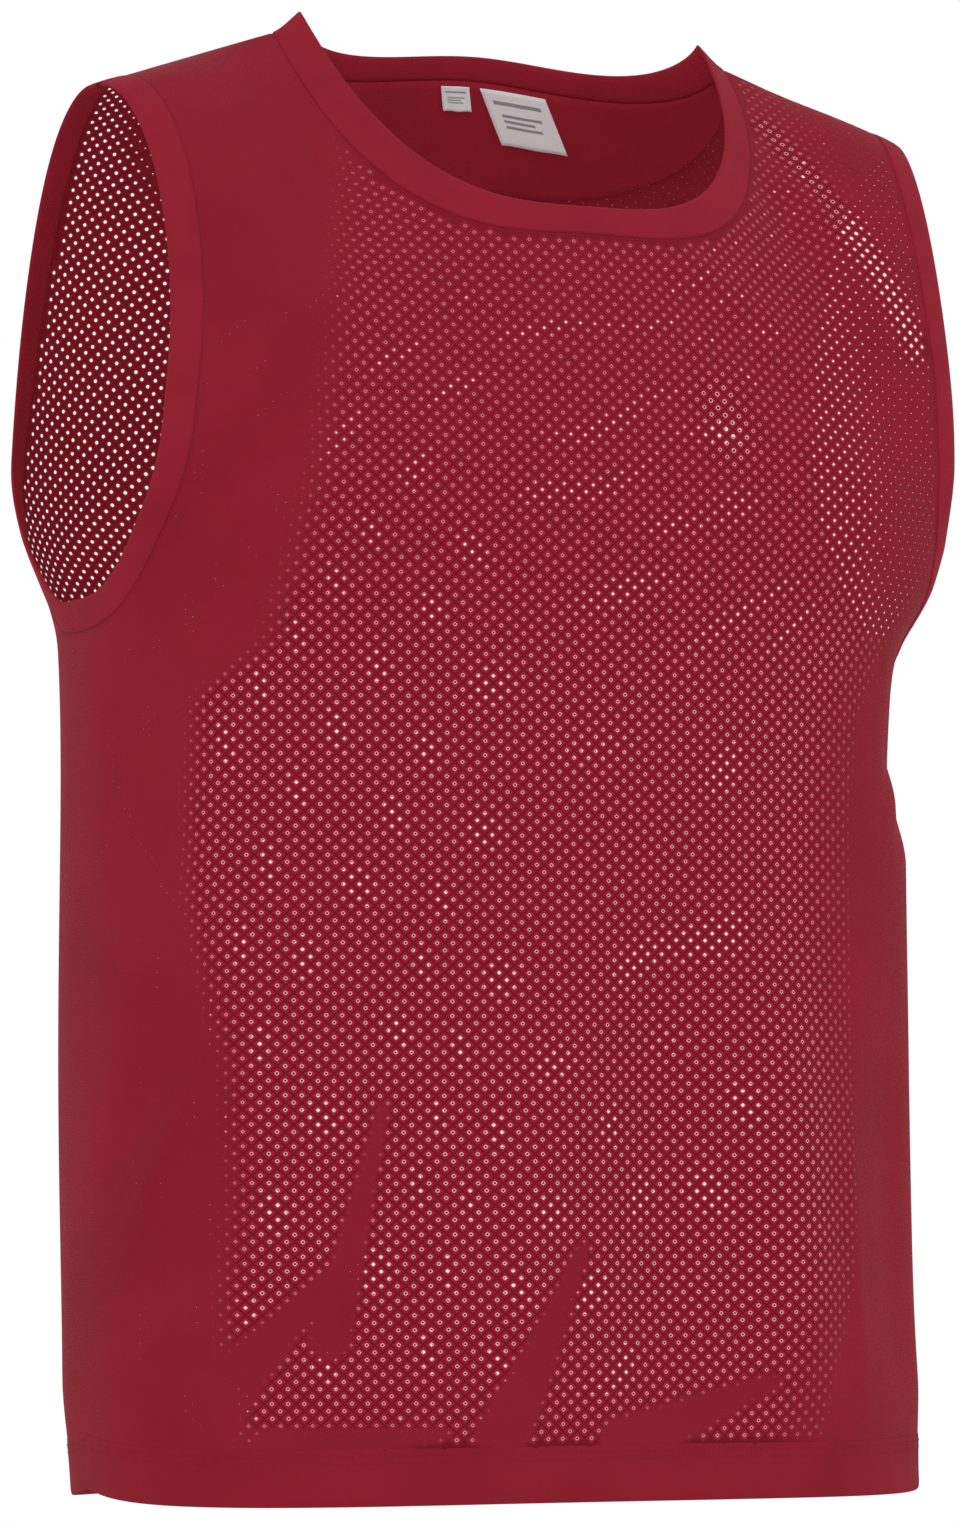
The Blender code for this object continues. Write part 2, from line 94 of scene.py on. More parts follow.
CREASES = (
    ("front", -0.206, 0.452, -0.120, 0.545, 0.0085, -0.0022),
    ("front", -0.204, 0.486, -0.128, 0.566, 0.0080, 0.0020),
    ("front", -0.200, 0.520, -0.140, 0.590, 0.0080, -0.0018),
    ("front", -0.215, 0.420, -0.150, 0.490, 0.0090, 0.0020),
    ("front", 0.002, 0.590, 0.090, 0.552, 0.0085, -0.0020),
    ("front", 0.030, 0.602, 0.120, 0.545, 0.0080, 0.0020),
    ("front", 0.050, 0.560, 0.150, 0.500, 0.0090, -0.0018),
    ("front", 0.104, 0.655, 0.146, 0.556, 0.0080, -0.0024),
    ("front", 0.122, 0.670, 0.160, 0.580, 0.0075, 0.0020),
    ("front", -0.108, 0.660, -0.150, 0.600, 0.0080, -0.0016),
    ("front", -0.185, 0.215, -0.236, 0.115, 0.0085, 0.0028),
    ("front", -0.200, 0.240, -0.246, 0.150, 0.0080, -0.0022),
    ("front", -0.150, 0.040, -0.142, 0.160, 0.0095, -0.0020),
    ("front", -0.072, 0.035, -0.080, 0.170, 0.0090, 0.0018),
    ("front", 0.000, 0.035, 0.004, 0.180, 0.0095, 0.0018),
    ("front", 0.075, 0.030, 0.066, 0.190, 0.0095, -0.0018),
    ("front", 0.150, 0.035, 0.140, 0.200, 0.0090, 0.0020),
    ("front", 0.236, 0.395, 0.180, 0.350, 0.0090, -0.0022),
    ("front", 0.240, 0.370, 0.175, 0.320, 0.0090, 0.0020),
    ("back", -0.200, 0.450, -0.110, 0.530, 0.0090, 0.0022),
    ("back", -0.205, 0.420, -0.140, 0.470, 0.0090, -0.0020),
    ("back", 0.205, 0.440, 0.120, 0.540, 0.0090, -0.0022),
    ("back", 0.200, 0.480, 0.110, 0.590, 0.0090, 0.0020),
    ("back", -0.060, 0.640, 0.000, 0.600, 0.0090, -0.0016),
    ("back", 0.060, 0.630, 0.110, 0.560, 0.0090, 0.0016),
    ("back", -0.135, 0.035, -0.120, 0.190, 0.0095, 0.0020),
    ("back", -0.040, 0.030, -0.035, 0.180, 0.0095, -0.0018),
    ("back", 0.055, 0.035, 0.050, 0.200, 0.0095, 0.0018),
    ("back", 0.145, 0.030, 0.130, 0.210, 0.0090, -0.0020),
    ("back", 0.225, 0.300, 0.170, 0.230, 0.0090, 0.0018),
)
FOLD_FADE, CREASE_FADE = 0.035, 0.016    # folds die out this far from the seams
FOLD_TAPER = 1.25         # full in the middle, gone an eighth of its length past each end


def smooth(share):
    share = np.clip(share, 0, 1)
    return share * share * (3 - 2 * share)


def figure_at(height):
    """Half width, half depth and middle of the body's level section."""
    table = np.array(FIGURE)
    centre = table[:, 0].mean()
    return [
        np.polyval(np.polyfit(table[:, 0] - centre, column, len(FIGURE) - 1), height - centre)
        for column in table.T[1:]
    ]


SECTION_ANGLE = np.linspace(0, math.pi / 2, 400)


def quarter(half_width, half_depth, squareness):
    """A quarter of a level section, and the length of cloth up to each of its points."""
    power = 2 / squareness
    across = half_width * np.sin(SECTION_ANGLE) ** power
    along = half_depth * np.maximum(np.cos(SECTION_ANGLE), 0) ** power
    run = np.hypot(np.diff(across), np.diff(along))
    return across, along, np.concatenate([[0], np.cumsum(run)])


BEND_WIDTH, BEND_DEPTH, BEND_MIDDLE = figure_at(BEND_HEIGHT)
BODY = quarter(BEND_WIDTH, BEND_DEPTH, SQUARENESS)
CHEST = quarter(CHEST_HALF_WIDTH, BEND_DEPTH, CHEST_SQUARENESS)


def body_section(s):
    at = np.abs(s) / HALF_PANEL * BODY[2][-1]
    width, depth = np.interp(at, BODY[2], BODY[0]), np.interp(at, BODY[2], BODY[1])
    return np.sign(s) * width / BEND_WIDTH, depth / BEND_DEPTH


def chest_section(s):
    at = np.abs(s)
    width, depth = np.interp(at, CHEST[2], CHEST[0]), np.interp(at, CHEST[2], CHEST[1])
    return np.sign(s) * width, depth / BEND_DEPTH


def shoulder_line(x):
    return SHOULDER_PEAK - SHOULDER_SLOPE * np.hypot(x, SHOULDER_BLEND)


def shoulder_roundness(s, side):
    middle = CHEST_ROUNDNESS if side == FRONT else NAPE_ROUNDNESS
    to_middle = smooth(1 - np.abs(s) / NECK_SEAM)
    to_tip = smooth((np.abs(s) - NECK_SEAM) / (TIP_SEAM - NECK_SEAM))
    return (
        NECK_ROUNDNESS
        + (middle - NECK_ROUNDNESS) * to_middle
        + (TIP_ROUNDNESS - NECK_ROUNDNESS) * to_tip
    )


def over_shoulder(angle, roundness):
    return np.maximum(np.cos(angle), 0) ** (2 / roundness), np.sin(angle)


STATIONS = np.linspace(0, 1, 29)
BEND_ANGLE = np.linspace(0, math.pi / 2, 90)
BEND_START = BEND_HEIGHT - HEM_HEIGHT


def share_of_length(across, along):
    lengths = np.concatenate([[0], np.cumsum(np.hypot(np.diff(across), np.diff(along)))])
    return lengths / lengths[-1], lengths[-1]


def bend_curves(side):
    """How the cloth's length is spent over the shoulder, at stations across a panel."""
    shares, lengths = [], []
    for s in STATIONS * HALF_PANEL:
        start = BEND_MIDDLE + side * BEND_DEPTH * chest_section(s)[1]
        depth, rise = over_shoulder(BEND_ANGLE, shoulder_roundness(s, side))
        share, length = share_of_length(depth * start, rise * (shoulder_line(s) - BEND_HEIGHT))
        shares.append(share)
        lengths.append(length)
    return shares, np.array(lengths)


BENDS = {FRONT: bend_curves(FRONT), BACK: bend_curves(BACK)}


def shoulder_top(s, side):
    return BEND_START + np.interp(np.abs(s) / HALF_PANEL, STATIONS, BENDS[side][1])


def lay(s, t, side):
    """A pattern point on the body, with no folds."""
    height = np.minimum(HEM_HEIGHT + t, BEND_HEIGHT)
    half_width, half_depth, middle = figure_at(height)
    draw = HEM_DRAW * smooth(1 - t / HEM_DRAW_HEIGHT)
    half_width, half_depth = half_width - draw, half_depth - draw
    width, depth = body_section(s)
    chest_x, chest_depth = chest_section(s)
    chest = smooth((t - CHEST_START) / (CHEST_FULL - CHEST_START))
    x = width * half_width * (1 - chest) + chest_x * chest
    y = middle + side * half_depth * (depth * (1 - chest) + chest_depth * chest)

    up = np.clip((t - BEND_START) / (shoulder_top(s, side) - BEND_START), 0, 1)
    angle = np.zeros_like(up)
    for station, shares in zip(STATIONS, BENDS[side][0]):
        nearness = np.clip(1 - np.abs(np.abs(s) / HALF_PANEL - station) / STATIONS[1], 0, 1)
        near = nearness > 0
        angle[near] += nearness[near] * np.interp(up[near], shares, BEND_ANGLE)
    back, rise = over_shoulder(angle, shoulder_roundness(s, side))
    above = up > 0
    x = np.where(above, x + (s - x) * smooth(up), x)
    y = np.where(above, y * back, y)
    z = np.where(above, BEND_HEIGHT + (shoulder_line(s) - BEND_HEIGHT) * rise, height)
    return np.stack([x, y, z], axis=-1)


NORMAL_STEP = 0.002       # a normal is taken across this much cloth each way


def facing_out(place, s, t, side):
    """Outward unit normal of the surface place(s, t, side), level across the seams."""
    step = NORMAL_STEP
    near, far = np.maximum(s - step, -HALF_PANEL), np.minimum(s + step, HALF_PANEL)
    top = shoulder_top(s, side)
    upward = place(s, np.minimum(t + step, top), side) - place(s, t - step, side)
    normal = -side * np.cross(place(far, t, side) - place(near, t, side), upward)
    on_seam = (np.abs(s) > HALF_PANEL - step / 4) | (t > top - step / 4)
    normal[..., 1] = np.where(on_seam, 0, normal[..., 1])
    return normal / np.maximum(np.linalg.norm(normal, axis=-1, keepdims=True), 1e-9)


def ridges(rows, s, t, side, fade):
    """How far a table of folds stands out from the body at each pattern point."""
    proud = np.zeros_like(s)
    for row in rows:
        fold = dict(zip(FOLD_COLUMNS, row))
        if fold["side"] != SIDE_NAMES[side]:
            continue
        run_s, run_t = fold["s1"] - fold["s0"], fold["t1"] - fold["t0"]
        length = math.hypot(run_s, run_t)
        along = ((s - fold["s0"]) * run_s + (t - fold["t0"]) * run_t) / length ** 2
        off = ((s - fold["s0"]) * run_t - (t - fold["t0"]) * run_s) / length
        ends = smooth(FOLD_TAPER - 2 * np.abs(along - 0.5))
        proud += fold["proud"] * ends * np.exp(-((off / fold["width"]) ** 2))
    to_side = (HALF_PANEL - np.abs(s)) / fade
    to_shoulder = (shoulder_top(s, side) - t) / fade
    return proud * smooth(to_side) * smooth(to_shoulder)


def folded(s, t, side):
    proud = ridges(FOLDS, s, t, side, FOLD_FADE) + ridges(CREASES, s, t, side, CREASE_FADE)
    return lay(s, t, side) + facing_out(lay, s, t, side) * proud[..., None]


def cloth(s, t, side, height=0.0):
    """Places of pattern points that stand off the cloth's outer face by height."""
    s, t, height = np.broadcast_arrays(*(np.asarray(v, float) for v in (s, t, height)))
    return folded(s, t, side) + facing_out(folded, s, t, side) * height[..., None]


def neck_curve(angle, side, into_opening=0.0):
    """The neck seam on the pattern, from one shoulder (-90 degrees) to the other."""
    drop = FRONT_NECK_DROP if side == FRONT else BACK_NECK_DROP
    aim_s, aim_r = -np.sin(angle) / NECK_SEAM, np.cos(angle) / drop
    reach = into_opening / np.hypot(aim_s, aim_r)
    s = NECK_SEAM * np.sin(angle) + reach * aim_s
    return s, shoulder_top(s, side) - (drop * np.cos(angle) - reach * aim_r)


def armhole_curve(angle, side, into_opening=0.0):
    """The left armhole's seam, from the underarm (0 degrees) to the shoulder tip (90)."""
    power = 2 / ARMHOLE_SQUARENESS[0 if side == FRONT else 1]
    scoop = FRONT_SCOOP if side == FRONT else 0

    def seam(angle):
        share = 1 - np.maximum(np.cos(angle), 0) ** power
        inset = HALF_PANEL - TIP_SEAM + scoop * (1 - share ** 6)
        s = HALF_PANEL - inset * np.maximum(np.sin(angle), 0) ** power
        return s, UNDERARM + (shoulder_top(s, side) - UNDERARM) * share

    step = 0.01
    s, t = seam(angle)
    s0, t0 = seam(np.maximum(angle - step, 0))
    s1, t1 = seam(np.minimum(angle + step, math.pi / 2))
    run = np.hypot(s1 - s0, t1 - t0)
    at_underarm, at_tip = angle < step / 2, angle > math.pi / 2 - step / 2
    out_s = np.where(at_tip, 1, np.where(at_underarm, 0, (t1 - t0) / run))
    out_t = np.where(at_tip, 0, np.where(at_underarm, 1, -(s1 - s0) / run))
    s_band = s + into_opening * out_s
    climb = np.where(at_tip, shoulder_top(s_band, side) - shoulder_top(s, side), 0)
    return s_band, t + into_opening * out_t + climb


def even_angles(curve, start, end, count):
    """Angles that part a pattern curve into equal lengths."""
    fine = np.linspace(start, end, 2000)
    return np.interp(np.linspace(0, 1, count + 1), share_of_length(*curve(fine))[0], fine)


def hem_line(s, above):
    share = np.abs(s / HALF_PANEL)
    return above + HEM_SWEEP * (1 - share ** 2) + HEM_RISE * share ** 6


def new_mesh(name, points, faces, material=None):
    mesh = bpy.data.meshes.new(name)
    mesh.from_pydata([tuple(p) for p in points], [], faces)
    mesh.update()
    obj = bpy.data.objects.new(name, mesh)
    bpy.context.scene.collection.objects.link(obj)
    if material:
        mesh.materials.append(material)
    return obj


def finish_mesh(obj, flat, **values):
    """Smooth shading, the pattern as a UV map, and values that its material reads."""
    mesh = obj.data
    corner = np.empty(len(mesh.loops), dtype=np.int32)
    mesh.loops.foreach_get("vertex_index", corner)
    uv = mesh.uv_layers.new(name="pattern")
    uv.data.foreach_set("uv", np.asarray(flat, dtype=np.float32)[corner].ravel())
    for name, numbers in values.items():
        attribute = mesh.attributes.new(name, "FLOAT", "POINT")
        attribute.data.foreach_set("value", np.asarray(numbers, dtype=np.float32))
    mesh.shade_smooth()
    mesh.update()


class Wire:
    """A node's output; arithmetic on it adds Math nodes."""

    def __init__(self, tree, output):
        self.tree, self.output = tree, output

    def maths(self, operation, *values):
        settings = {"operation": operation}
        return node(self.tree, "ShaderNodeMath", settings, dict(enumerate(values)))[0]

    def __add__(self, other):
        return self.maths("ADD", self, other)

    def __sub__(self, other):
        return self.maths("SUBTRACT", self, other)

    def __rsub__(self, other):
        return self.maths("SUBTRACT", other, self)

    def __mul__(self, other):
        return self.maths("MULTIPLY", self, other)

    __radd__, __rmul__ = __add__, __mul__

    def sine(self):
        return self.maths("SINE", self)

    def above(self, limit, softness):
        """0 below the limit, 1 past it and its softness, with a soft step between."""
        settings = {"interpolation_type": "SMOOTHSTEP"}
        values = {"Value": self, "From Min": limit, "From Max": limit + softness}
        return node(self.tree, "ShaderNodeMapRange", settings, values)[0]


def node(tree, kind, settings=(), values=()):
    """Add a node, set it up, and link or set its sockets; its outputs come back as wires."""
    new = tree.nodes.new(kind)
    for name, value in dict(settings).items():
        setattr(new, name, value)
    for key, value in dict(values).items():
        socket = new.inputs[key] if isinstance(key, int) else next(
            i for i in new.inputs if key in (i.identifier, i.name)
        )
        if isinstance(value, Wire):
            tree.links.new(value.output, socket)
        else:
            socket.default_value = value
    return [Wire(tree, output) for output in new.outputs]


class ClothShader:
    """A cloth's material: its shader, its place on the pattern, noise, and colour mixing."""

    def __init__(self, name, roughness, sheen, glow):
        self.material = bpy.data.materials.new(name)
        self.material.use_nodes = True
        self.tree = self.material.node_tree
        self.shader = self.tree.nodes["Principled BSDF"]
        for socket, value in (
            ("Roughness", roughness), ("Sheen Weight", sheen), ("Sheen Roughness", 0.5),
            ("Sheen Tint", (0.75, 0.20, 0.25, 1)), ("Specular IOR Level", 0.12),
            ("Emission Strength", glow),
        ):
            self.shader.inputs[socket].default_value = value
        uv = node(self.tree, "ShaderNodeUVMap", {"uv_map": "pattern"})[0]
        self.s, self.t, _ = node(self.tree, "ShaderNodeSeparateXYZ", (), {0: uv})

    def attribute(self, name):
        return node(self.tree, "ShaderNodeAttribute", {"attribute_name": name})[2]

    def noise(self, scale, detail=3.0):
        place = node(self.tree, "ShaderNodeTexCoord")[3]
        values = {"Vector": place, "Scale": scale, "Detail": detail}
        return node(self.tree, "ShaderNodeTexNoise", (), values)[0]

    def mix(self, share, low, high):
        values = {"Factor_Float": share, "A_Color": low, "B_Color": high}
        outputs = node(self.tree, "ShaderNodeMix", {"data_type": "RGBA"}, values)
        return next(wire for wire in outputs if wire.output.identifier == "Result_Color")

    def blotches(self, scale, bright, deep):
        """A colour that wanders slowly between two."""
        return self.mix(self.noise(scale).above(0.35, 0.35), bright, deep)

    def finish(self, colour, relief, depth, strength):
        """Colour, the same colour as a painted glow that stands in for light coming through, and
        the knit's relief.
        """
        values = {"Height": relief, "Distance": depth, "Strength": strength}
        bump = node(self.tree, "ShaderNodeBump", (), values)[0]
        for wire, socket in ((colour, "Base Color"), (colour, "Emission Color"), (bump, "Normal")):
            self.tree.links.new(wire.output, self.shader.inputs[socket])


def knit(along, pitch):
    """Even ribs across a wire that runs along the pattern."""
    return (along * (2 * math.pi / pitch)).sine()


# Net: crimson yarn in wales 0.9 mm apart. A painted highlight makes the edge of each hole pale,
# the yarn beside it is painted bright, and painted shade makes the crossings between the holes
# deep red.
CRIMSON, CRIMSON_DEEP = (0.218, 0.0085, 0.0185, 1), (0.194, 0.0072, 0.0160, 1)
BESIDE_HOLE_HIGHLIGHT, CROSSING_SHADE = (0.265, 0.0080, 0.0230, 1), (0.140, 0.0035, 0.0085, 1)
HOLE_EDGE_HIGHLIGHT = (0.66, 0.40, 0.34, 1)
PAINTED_GLOW = 0.29            # painted glow: thin cloth glows faintly in its own colour, in place of light that it lets through
WALE, COURSE, COURSE_LEAN = 0.0009, 0.0011, 900.0
net = ClothShader("net_cloth", 0.80, 0.05, PAINTED_GLOW)
rim, shine = net.attribute("rim"), net.attribute("shine")
plain_yarn = net.blotches(14.0, CRIMSON, CRIMSON_DEEP)
# painted shade on the crossings between holes, and a painted highlight on the yarn beside them
painted_relief_yarn = net.mix(rim.above(0.12, 0.30), CROSSING_SHADE, BESIDE_HOLE_HIGHLIGHT)
yarn = net.mix(shine.above(0.05, 0.60), plain_yarn, painted_relief_yarn)
# painted highlight: the edge of each open hole is painted pale
net_colour = net.mix(rim.above(0.81, 0.07) * shine, yarn, HOLE_EDGE_HIGHLIGHT)
wales = knit(net.s, WALE)
courses = (net.t * (2 * math.pi / COURSE) + net.s * COURSE_LEAN).sine()
net.finish(net_colour, (wales + courses) * 0.5 + net.noise(900.0, 2.0), 0.00018, 0.5)

# The net's columns of holes stand 3.7 mm apart, every other one half a step up
HOLE_ACROSS, HOLE_UP, HOLE_SIDES = 0.0037, 0.00335, 8
HOLE_RADIUS = {FRONT: 0.00056, BACK: 0.00086}
SHUT_RADIUS = 0.00010
NET_EDGE = 0.001          # the net runs this far under the hem
NET_WELD = 0.00002        # corners of neighbouring cells become one

# Where the front's holes lie open: limits to the wearer's right and left, and how bright the
# painted highlight on their edges is
OPEN_COLUMNS = ("t", "right", "left", "shine")
OPEN_ROWS = (
    (0.030, -0.170, 0.118, 0.70),
    (0.060, -0.178, 0.124, 0.85),
    (0.100, -0.178, 0.140, 1.00),
    (0.143, -0.173, 0.146, 1.00),
    (0.205, -0.176, 0.146, 0.95),
    (0.282, -0.198, 0.144, 0.85),
    (0.326, -0.201, 0.144, 0.85),
    (0.374, -0.196, 0.150, 0.90),
    (0.400, -0.160, 0.165, 0.80),
    (0.440, -0.149, 0.195, 0.60),
    (0.510, -0.138, 0.225, 0.47),
    (0.587, -0.124, 0.225, 0.40),
    (0.646, -0.108, 0.225, 0.31),
    (0.700, -0.100, 0.225, 0.25),
)
# They close over these distances at the limits, and near the left one their painted highlight is
# dim and they are small
RIGHT_FADE, LEFT_FADE, INSIDE_FADE = 0.024, 0.010, 0.4
DIM_EDGE, DIM_START, DIM_BRIGHT, DIM_OPEN = 0.035, 0.2, 0.35, 0.6
# Beyond this the far chest is turned from the light, so its painted hole highlights are dimmed,
# and its holes lie almost shut
FAR_CHEST, FAR_FADE, FAR_BRIGHT, FAR_OPEN = 0.130, 0.040, 0.42, 0.25
# Folded wedges where its holes are pressed shut, and streaks where they gape and their painted
# highlight is brighter
WEDGE_COLUMNS = ("s0", "t0", "s1", "t1", "width")
WEDGE_FADE, WEDGE_TIP = 0.006, 0.35      # a wedge's start has this share of its full width
SHUT_WEDGES = (
    (-0.106, 0.185, -0.132, 0.080, 0.011),
    (-0.135, 0.105, -0.190, 0.045, 0.016),
    (-0.012, 0.120, -0.052, 0.036, 0.014),
    (0.088, 0.058, 0.010, 0.030, 0.014),
    (-0.080, 0.036, -0.160, 0.030, 0.010),
)
GAPE_BRIGHT, GAPE_OPEN = 1.2, 1.5
GAPING_STREAKS = (
    (0.128, 0.690, 0.152, 0.620, 0.005),
    (0.152, 0.620, 0.180, 0.556, 0.009),
    (0.060, 0.520, 0.068, 0.500, 0.010),
)
# The back's are shut round the neck, where the lining doubles the cloth, and by the side seams
LINED_HALF_WIDTH, LINED_DEPTH, LINED_FADE = 0.172, 0.165, 0.12
SIDE_START, SIDE_FADE, BACK_BRIGHT = 0.185, 0.040, 0.35


def off_segment(s, t, row):
    """How far pattern points lie from a table row's line, and how far along it."""
    line = dict(zip(WEDGE_COLUMNS, row))
    run_s, run_t = line["s1"] - line["s0"], line["t1"] - line["t0"]
    along = ((s - line["s0"]) * run_s + (t - line["t0"]) * run_t) / (run_s ** 2 + run_t ** 2)
    along = np.clip(along, 0, 1)
    off = np.hypot(s - line["s0"] - along * run_s, t - line["t0"] - along * run_t)
    return off, along, line["width"]


def openness(s, t, side):
    """How open holes lie, and how bright the painted highlight on their edges is, from 0 to 1."""
    if side == BACK:
        lined = np.hypot(s / LINED_HALF_WIDTH, (shoulder_top(s, BACK) - t) / LINED_DEPTH)
        by_side = smooth((np.abs(s) - SIDE_START) / SIDE_FADE)
        by_side = by_side * smooth((UNDERARM - t) / SIDE_FADE + 1)
        open_share = smooth((lined - 1) / LINED_FADE) * (1 - by_side)
        return open_share, BACK_BRIGHT * open_share
    table = dict(zip(OPEN_COLUMNS, np.array(OPEN_ROWS).T))
    right, left, bright = (np.interp(t, table["t"], table[c]) for c in OPEN_COLUMNS[1:])
    open_share = smooth((s - right) / RIGHT_FADE + INSIDE_FADE)
    open_share = open_share * smooth((left - s) / LEFT_FADE + INSIDE_FADE)
    lit = smooth((left - s) / DIM_EDGE - DIM_START)
    bright = bright * (DIM_BRIGHT + (1 - DIM_BRIGHT) * lit)
    far = smooth((s - FAR_CHEST) / FAR_FADE) * smooth((t - UNDERARM) / FAR_FADE)
    bright = bright * (1 - (1 - FAR_BRIGHT) * far)
    open_share = open_share * (1 - (1 - FAR_OPEN) * far)
    for row in SHUT_WEDGES:
        off, along, width = off_segment(s, t, row)
        edge = width * (WEDGE_TIP + (1 - WEDGE_TIP) * along)
        open_share = open_share * smooth((off - edge) / WEDGE_FADE + 0.5)
    for row in GAPING_STREAKS:
        off, along, width = off_segment(s, t, row)
        gape = np.exp(-((off / width) ** 2))
        bright = bright + (GAPE_BRIGHT - bright) * gape
        open_share = open_share + (GAPE_OPEN - open_share) * gape
    shown = np.clip(np.minimum(open_share, 1) * bright, 0, 1)
    return open_share * (DIM_OPEN + (1 - DIM_OPEN) * np.minimum(bright, 1.0)), shown


# A tree that stands copies of a small mesh on flat spots and joins them to the rest of the cloth
repeat_tree = bpy.data.node_groups.new("repeat_on_pattern", "GeometryNodeTree")
for label, kind in (
    ("Spots", "Geometry"), ("Copy", "Object"), ("Rest", "Object"), ("Weld", "Float"),
    ("Cloth", "Material"),
):
    repeat_tree.interface.new_socket(label, in_out="INPUT", socket_type="NodeSocket" + kind)
repeat_tree.interface.new_socket("Pieces", in_out="OUTPUT", socket_type="NodeSocketGeometry")
spots, copy, rest, weld, clothe = node(repeat_tree, "NodeGroupInput")[:5]
turn = node(
    repeat_tree, "GeometryNodeInputNamedAttribute", {"data_type": "FLOAT_VECTOR"}, {"Name": "turn"}
)
copies = node(repeat_tree, "GeometryNodeInstanceOnPoints", (), {
    "Points": spots,
    "Instance": node(repeat_tree, "GeometryNodeObjectInfo", (), {"Object": copy})[-1],
    "Rotation": turn[0],
})[0]
real_copies = node(repeat_tree, "GeometryNodeRealizeInstances", (), {"Geometry": copies})[0]
join = repeat_tree.nodes.new("GeometryNodeJoinGeometry")
rest_mesh = node(repeat_tree, "GeometryNodeObjectInfo", (), {"Object": rest})[-1]
for part in (real_copies, rest_mesh):
    repeat_tree.links.new(part.output, join.inputs[0])
joined = Wire(repeat_tree, join.outputs[0])
welding = {"Geometry": joined, "Distance": weld}
welded = node(repeat_tree, "GeometryNodeMergeByDistance", (), welding)[0]
dressing = {"Geometry": welded, "Material": clothe}
dressed = node(repeat_tree, "GeometryNodeSetMaterial", (), dressing)[0]
node(repeat_tree, "NodeGroupOutput", (), {"Pieces": dressed})


def repeat(name, places, turns, copied, rest_of_it, weld_distance, material):
    """Copies of a small mesh on flat places, joined to the rest of the cloth, as a plain mesh."""
    base = new_mesh(name + "_spots", places, [])
    turn = np.zeros((len(places), 3), np.float32)
    turn[:, 2] = turns
    attribute = base.data.attributes.new("turn", "FLOAT_VECTOR", "POINT")
    attribute.data.foreach_set("vector", turn.ravel())
    modifier = base.modifiers.new("repeat", "NODES")
    modifier.node_group = repeat_tree
    sockets = repeat_tree.interface.items_tree
    inputs = {i.name: i.identifier for i in sockets if i.in_out == "INPUT"}
    modifier[inputs["Copy"]], modifier[inputs["Cloth"]] = copied, material
    modifier[inputs["Weld"]] = weld_distance
    if rest_of_it:
        modifier[inputs["Rest"]] = rest_of_it
    graph = bpy.context.evaluated_depsgraph_get()
    mesh = bpy.data.meshes.new_from_object(base.evaluated_get(graph), depsgraph=graph)
    mesh.name = name
    piece = bpy.data.objects.new(name, mesh)
    bpy.context.scene.collection.objects.link(piece)
    for used in (base, rest_of_it):
        if used:
            bpy.data.objects.remove(used, do_unlink=True)
    return piece


def flat_points(piece):
    points = np.empty(len(piece.data.vertices) * 3, np.float32)
    piece.data.vertices.foreach_get("co", points)
    return points.reshape(-1, 3).astype(float)


def put_on_body(piece, flat, side):
    points = cloth(flat[:, 0], flat[:, 1], side, flat[:, 2])
    piece.data.vertices.foreach_set("co", np.asarray(points, np.float32).ravel())
    if side == BACK:
        piece.data.flip_normals()


# One cell of the net: a diamond with a round hole, a millimetre in radius until it is set
CELL_RADIUS = 0.001
ring_angles = np.arange(HOLE_SIDES) * 2 * math.pi / HOLE_SIDES
cell_points = [(HOLE_ACROSS, 0, 0), (0, HOLE_UP, 0), (-HOLE_ACROSS, 0, 0), (0, -HOLE_UP, 0)]
cell_points += [(CELL_RADIUS * math.cos(a), CELL_RADIUS * math.sin(a), 0) for a in ring_angles]
cell_faces = []
for k in range(4):
    before, at, after = 4 + (2 * k - 1) % HOLE_SIDES, 4 + 2 * k, 4 + 2 * k + 1
    cell_faces += [(k, at, before), (k, after, at), (k, (k + 1) % 4, after)]
cell = new_mesh("net_cell", cell_points, cell_faces)
in_ring = [0.0] * 4 + [1.0] * HOLE_SIDES
cell.data.attributes.new("ring", "FLOAT", "POINT").data.foreach_set("value", in_ring)


def neck_angles(side, count):
    return even_angles(lambda a: neck_curve(a, side), -math.pi / 2, math.pi / 2, count)


def armhole_angles(side, count):
    return even_angles(lambda a: armhole_curve(a, side), 0, math.pi / 2, count)


ROUND_STEPS, SHOULDER_STEPS, SIDE_STEPS, HEM_STEPS = 160, 40, 120, 200


def panel_outline(side):
    """The net's edge on the pattern, once round."""
    arm = np.stack(armhole_curve(armhole_angles(side, ROUND_STEPS), side))
    neck = np.stack(neck_curve(neck_angles(side, ROUND_STEPS), side))
    shoulder_s = np.linspace(TIP_SEAM, NECK_SEAM, SHOULDER_STEPS)[1:-1]
    shoulder = np.stack([shoulder_s, shoulder_top(shoulder_s, side)])
    side_base = hem_line(HALF_PANEL, HEM_TURN - NET_EDGE)
    side_t = np.linspace(side_base, UNDERARM, SIDE_STEPS)[:-1]
    left = np.hstack([np.stack([np.full(side_t.shape, HALF_PANEL), side_t]), arm, shoulder])
    right = left * np.array([[-1], [1]])
    hem_s = np.linspace(HALF_PANEL, -HALF_PANEL, HEM_STEPS)[1:-1]
    hem_edge = np.stack([hem_s, hem_line(hem_s, HEM_TURN - NET_EDGE)])
    return np.hstack([right, neck, left[:, ::-1], hem_edge]).T


def inside(points, outline):
    """Which points lie inside a closed outline, by counting the edges to their left."""
    within = np.zeros(len(points), bool)
    for (s0, t0), (s1, t1) in zip(outline, np.roll(outline, -1, axis=0)):
        if t0 != t1:
            spans = (points[:, 1] >= min(t0, t1)) & (points[:, 1] < max(t0, t1))
            within ^= spans & (points[:, 0] > s0 + (points[:, 1] - t0) * (s1 - s0) / (t1 - t0))
    return within


